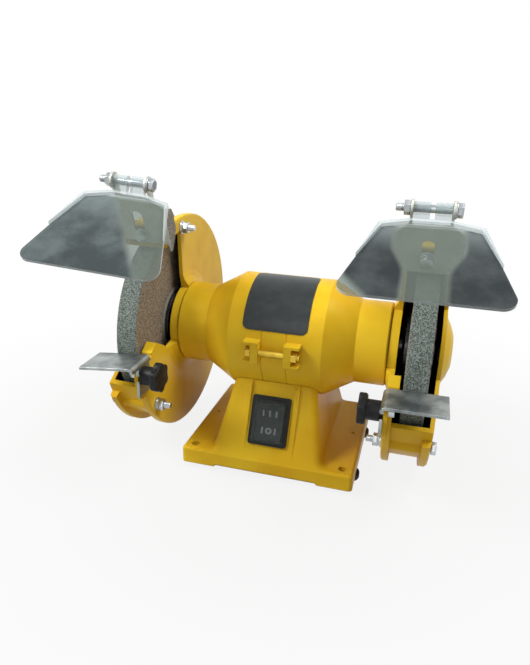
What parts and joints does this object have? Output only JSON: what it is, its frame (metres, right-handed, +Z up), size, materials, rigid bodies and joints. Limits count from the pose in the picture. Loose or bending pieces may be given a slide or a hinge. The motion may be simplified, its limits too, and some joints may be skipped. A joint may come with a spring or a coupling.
{
  "type": "bench grinder",
  "caption": "Bench grinder with a wheel in a guard at each end of its motor, adjustable tool rests, clear eye shields and a rocker switch in its pedestal.",
  "frame": {"origin": "on the bench under the middle of the motor, at the foot plate's centre", "axes": "+X along the spindle to the user's right, -Y towards the user, +Z up"},
  "size_m": [0.296, 0.2208, 0.2308],
  "materials": {
    "yellow_paint": "satin gloss yellow paint over cast metal",
    "black_plastic": "moulded black plastic",
    "rocker_plastic": "dark moulded plastic",
    "mark_white": "white moulded marks",
    "clear_boot": "clear flexible dust boot",
    "visor_plastic": "clear smoky plastic",
    "foot_rubber": "black rubber",
    "label_film": "charcoal label film, left bare",
    "zinc": "zinc plated steel",
    "steel": "turned steel",
    "grit": "grey bonded abrasive",
    "copper": "enamelled copper wire",
    "aluminium": "plain aluminium",
    "blotter_paper": "grey card"
  },
  "bodies": {
    "frame": {"base_casting": "yellow_paint", "bottom_cover": "steel", "cover_screws": "zinc", "rubber_feet": "foot_rubber", "foot_screws": "zinc", "switch_housing": "black_plastic", "switch_boot": "clear_boot", "cable_gland": "black_plastic", "gland_nut": "black_plastic", "capacitor": "aluminium", "capacitor_clamp": "zinc", "clamp_screws": "zinc", "bell_left": "yellow_paint", "bell_right": "yellow_paint", "stator_shell": "yellow_paint", "stator_core": "steel", "windings": "copper", "tie_bolts": "zinc", "tie_nuts": "zinc", "label": "label_film", "saddle_screws": "zinc", "bearing_outers": "steel", "bearing_balls": "steel", "inner_guard_left": "yellow_paint", "inner_guard_right": "yellow_paint", "outer_guard_left": "yellow_paint", "outer_guard_right": "yellow_paint", "guard_screws": "zinc", "guard_bolts": "zinc", "guard_nuts": "zinc", "bracket_bolts": "zinc", "bracket_washers": "zinc"},
    "spindle": {"rotor": "aluminium", "spindle": "steel", "bearing_inners": "steel", "inner_flanges": "steel", "wheel_left": "grit", "wheel_right": "grit", "blotters": "blotter_paper", "outer_flanges": "steel", "arbor_nuts": "steel"},
    "switch_rocker": {"rocker": "rocker_plastic", "rocker_marks": "mark_white"},
    "tool_rest_left": {"rest_left": "zinc"},
    "tool_rest_right": {"rest_right": "zinc"},
    "rest_knob_left": {"knob_left": "black_plastic", "stud_left": "zinc"},
    "rest_knob_right": {"knob_right": "black_plastic", "stud_right": "zinc"},
    "visor_arm_left": {"bracket_left": "zinc", "hinge_bolt_left": "zinc", "hinge_nut_left": "zinc"},
    "visor_arm_right": {"bracket_right": "zinc", "hinge_bolt_right": "zinc", "hinge_nut_right": "zinc"},
    "shield_left": {"visor_left": "visor_plastic"},
    "shield_right": {"visor_right": "visor_plastic"}
  },
  "joints": [
    {"name": "spindle_spin", "type": "hinge", "parent": "frame", "child": "spindle", "pos_m": [0, 0, 0.104], "axis": [1, 0, 0], "continuous": true},
    {"name": "rocker_tilt", "type": "hinge", "parent": "frame", "child": "switch_rocker", "pos_m": [0, -0.04251, 0.04401], "axis": [1, 0, 0], "range_deg": [-16, 0]},
    {"name": "tool_rest_left_slide", "type": "slide", "parent": "frame", "child": "tool_rest_left", "axis": [0, -1, 0], "range_m": [-0.001, 0.005]},
    {"name": "tool_rest_right_slide", "type": "slide", "parent": "frame", "child": "tool_rest_right", "axis": [0, -1, 0], "range_m": [-0.001, 0.005]},
    {"name": "rest_knob_left_turn", "type": "hinge", "parent": "frame", "child": "rest_knob_left", "pos_m": [-0.083, -0.0885, 0.091], "axis": [1, 0, 0], "range_deg": [0, 360]},
    {"name": "rest_knob_right_turn", "type": "hinge", "parent": "frame", "child": "rest_knob_right", "pos_m": [0.083, -0.0885, 0.091], "axis": [-1, 0, 0], "range_deg": [0, 360]},
    {"name": "visor_arm_left_slide", "type": "slide", "parent": "frame", "child": "visor_arm_left", "axis": [0.0872, -0.4753, 0.8755], "range_m": [-0.0085, 0]},
    {"name": "visor_arm_right_slide", "type": "slide", "parent": "frame", "child": "visor_arm_right", "axis": [0, -0.4772, 0.8788], "range_m": [-0.003, 0.006]},
    {"name": "shield_left_tilt", "type": "hinge", "parent": "visor_arm_left", "child": "shield_left", "pos_m": [-0.09948, -0.06529, 0.22425], "axis": [0.9962, 0.0416, -0.0766], "range_deg": [-110, 20]},
    {"name": "shield_right_tilt", "type": "hinge", "parent": "visor_arm_right", "child": "shield_right", "pos_m": [0.1021, -0.06251, 0.21912], "axis": [1, 0, 0], "range_deg": [-110, 28]}
  ]
}
